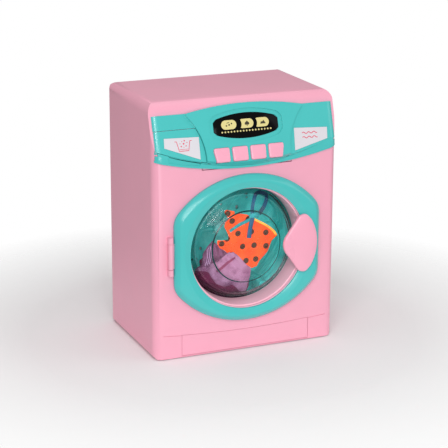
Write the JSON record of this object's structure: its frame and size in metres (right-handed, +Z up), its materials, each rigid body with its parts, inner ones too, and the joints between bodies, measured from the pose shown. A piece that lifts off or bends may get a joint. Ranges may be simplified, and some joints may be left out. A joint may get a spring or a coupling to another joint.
{
  "type": "toy washing machine",
  "caption": "Toy front-loading washing machine with a swinging door, soap drawer, sprung keys, lit display and a geared drum holding doll clothes.",
  "frame": {"origin": "centre of the footprint on the ground, at the bottom centre of the bounding box", "axes": "+X to the right seen from the front, +Y to the back, +Z up"},
  "size_m": [0.186, 0.138, 0.244],
  "materials": {
    "cabinet_pink": "satin gloss",
    "trim_teal": "satin gloss",
    "key_pink": "satin gloss",
    "drum_teal": "gloss",
    "window_clear": "clear polished",
    "display_black": "gloss",
    "icon_yellow": "printed",
    "label_white": "printed foil",
    "foot_rubber": "matte",
    "screw_steel": "zinc plated",
    "board_green": "solder mask",
    "led_clear": "diffused",
    "pad_silicone": "silicone",
    "tray_white": "moulded",
    "gear_natural": "natural acetal",
    "bush_brass": "brass coloured, turned",
    "motor_can": "plated",
    "speaker_black": "matte",
    "box_grey": "moulded",
    "cell_jacket": "printed sleeve",
    "cloth_orange": "woven, printed",
    "ribbon_blue": "satin",
    "organza_purple": "sheer"
  },
  "bodies": {
    "cabinet": {"front_shell": "cabinet_pink", "rear_shell": "cabinet_pink", "kick_panel": "cabinet_pink", "feet": "foot_rubber", "case_screws": "screw_steel", "control_panel": "trim_teal", "panel_screws": "screw_steel", "display_lens": "display_black", "display_icons": "icon_yellow", "panel_label": "label_white", "circuit_board": "board_green", "status_leds": "led_clear", "key_pad": "pad_silicone", "drawer_guide": "tray_white", "hinge_pin": "screw_steel", "latch_catch": "tray_white", "shaft_bush": "bush_brass", "mid_axle": "screw_steel", "motor": "motor_can", "gearbox_front": "tray_white", "gearbox_cover": "tray_white", "gearbox_screws": "screw_steel", "speaker": "speaker_black", "battery_box": "box_grey", "battery_contacts": "screw_steel", "batteries": "cell_jacket", "battery_cover": "cabinet_pink", "cover_screw": "screw_steel", "switch_body": "box_grey"},
    "door": {"door_ring": "trim_teal", "door_liner": "key_pink", "door_window": "window_clear", "door_screws": "screw_steel"},
    "drawer": {"drawer_front": "trim_teal", "drawer_tray": "tray_white", "drawer_label": "label_white"},
    "key_1": {"key_1": "key_pink"},
    "key_2": {"key_2": "key_pink"},
    "key_3": {"key_3": "key_pink"},
    "key_4": {"key_4": "key_pink"},
    "drum": {"drum": "drum_teal", "drum_shaft": "screw_steel", "drum_gear": "gear_natural", "dress": "cloth_orange", "dress_ribbon": "ribbon_blue", "skirt": "organza_purple"},
    "mid_gear": {"mid_gear": "gear_natural"},
    "rotor": {"motor_pinion": "bush_brass", "motor_shaft": "screw_steel"},
    "switch_knob": {"switch_knob": "display_black"}
  },
  "joints": [
    {"name": "door_hinge", "type": "hinge", "parent": "cabinet", "child": "door", "pos_m": [-0.0776, -0.06, 0.1023], "axis": [0, 0, 1], "range_deg": [-110, 0]},
    {"name": "drawer_slide", "type": "slide", "parent": "cabinet", "child": "drawer", "axis": [0, -1, 0], "range_m": [0, 0.032]},
    {"name": "key_1_press", "type": "slide", "parent": "cabinet", "child": "key_1", "axis": [0, 0.9563, -0.2924], "range_m": [0, 0.0015], "stiffness_N_per_m": 500, "springref_m": -0.0006},
    {"name": "key_2_press", "type": "slide", "parent": "cabinet", "child": "key_2", "axis": [0, 0.9563, -0.2924], "range_m": [0, 0.0015], "stiffness_N_per_m": 500, "springref_m": -0.0006},
    {"name": "key_3_press", "type": "slide", "parent": "cabinet", "child": "key_3", "axis": [0, 0.9563, -0.2924], "range_m": [0, 0.0015], "stiffness_N_per_m": 500, "springref_m": -0.0006},
    {"name": "key_4_press", "type": "slide", "parent": "cabinet", "child": "key_4", "axis": [0, 0.9563, -0.2924], "range_m": [0, 0.0015], "stiffness_N_per_m": 500, "springref_m": -0.0006},
    {"name": "drum_spin", "type": "hinge", "parent": "cabinet", "child": "drum", "pos_m": [0, 0, 0.1023], "axis": [0, 1, 0], "continuous": true},
    {"name": "mid_gear_spin", "type": "hinge", "parent": "cabinet", "child": "mid_gear", "pos_m": [0.02598, 0.026, 0.1173], "axis": [0, 1, 0], "continuous": true},
    {"name": "rotor_spin", "type": "hinge", "parent": "cabinet", "child": "rotor", "pos_m": [0.04174, 0.03, 0.1082], "axis": [0, 1, 0], "continuous": true},
    {"name": "power_switch", "type": "slide", "parent": "cabinet", "child": "switch_knob", "axis": [1, 0, 0], "range_m": [0, 0.004]}
  ],
  "couplings": [
    {"joint": "mid_gear_spin", "follows": "drum_spin", "ratio": -4},
    {"joint": "rotor_spin", "follows": "drum_spin", "ratio": 13.333}
  ]
}
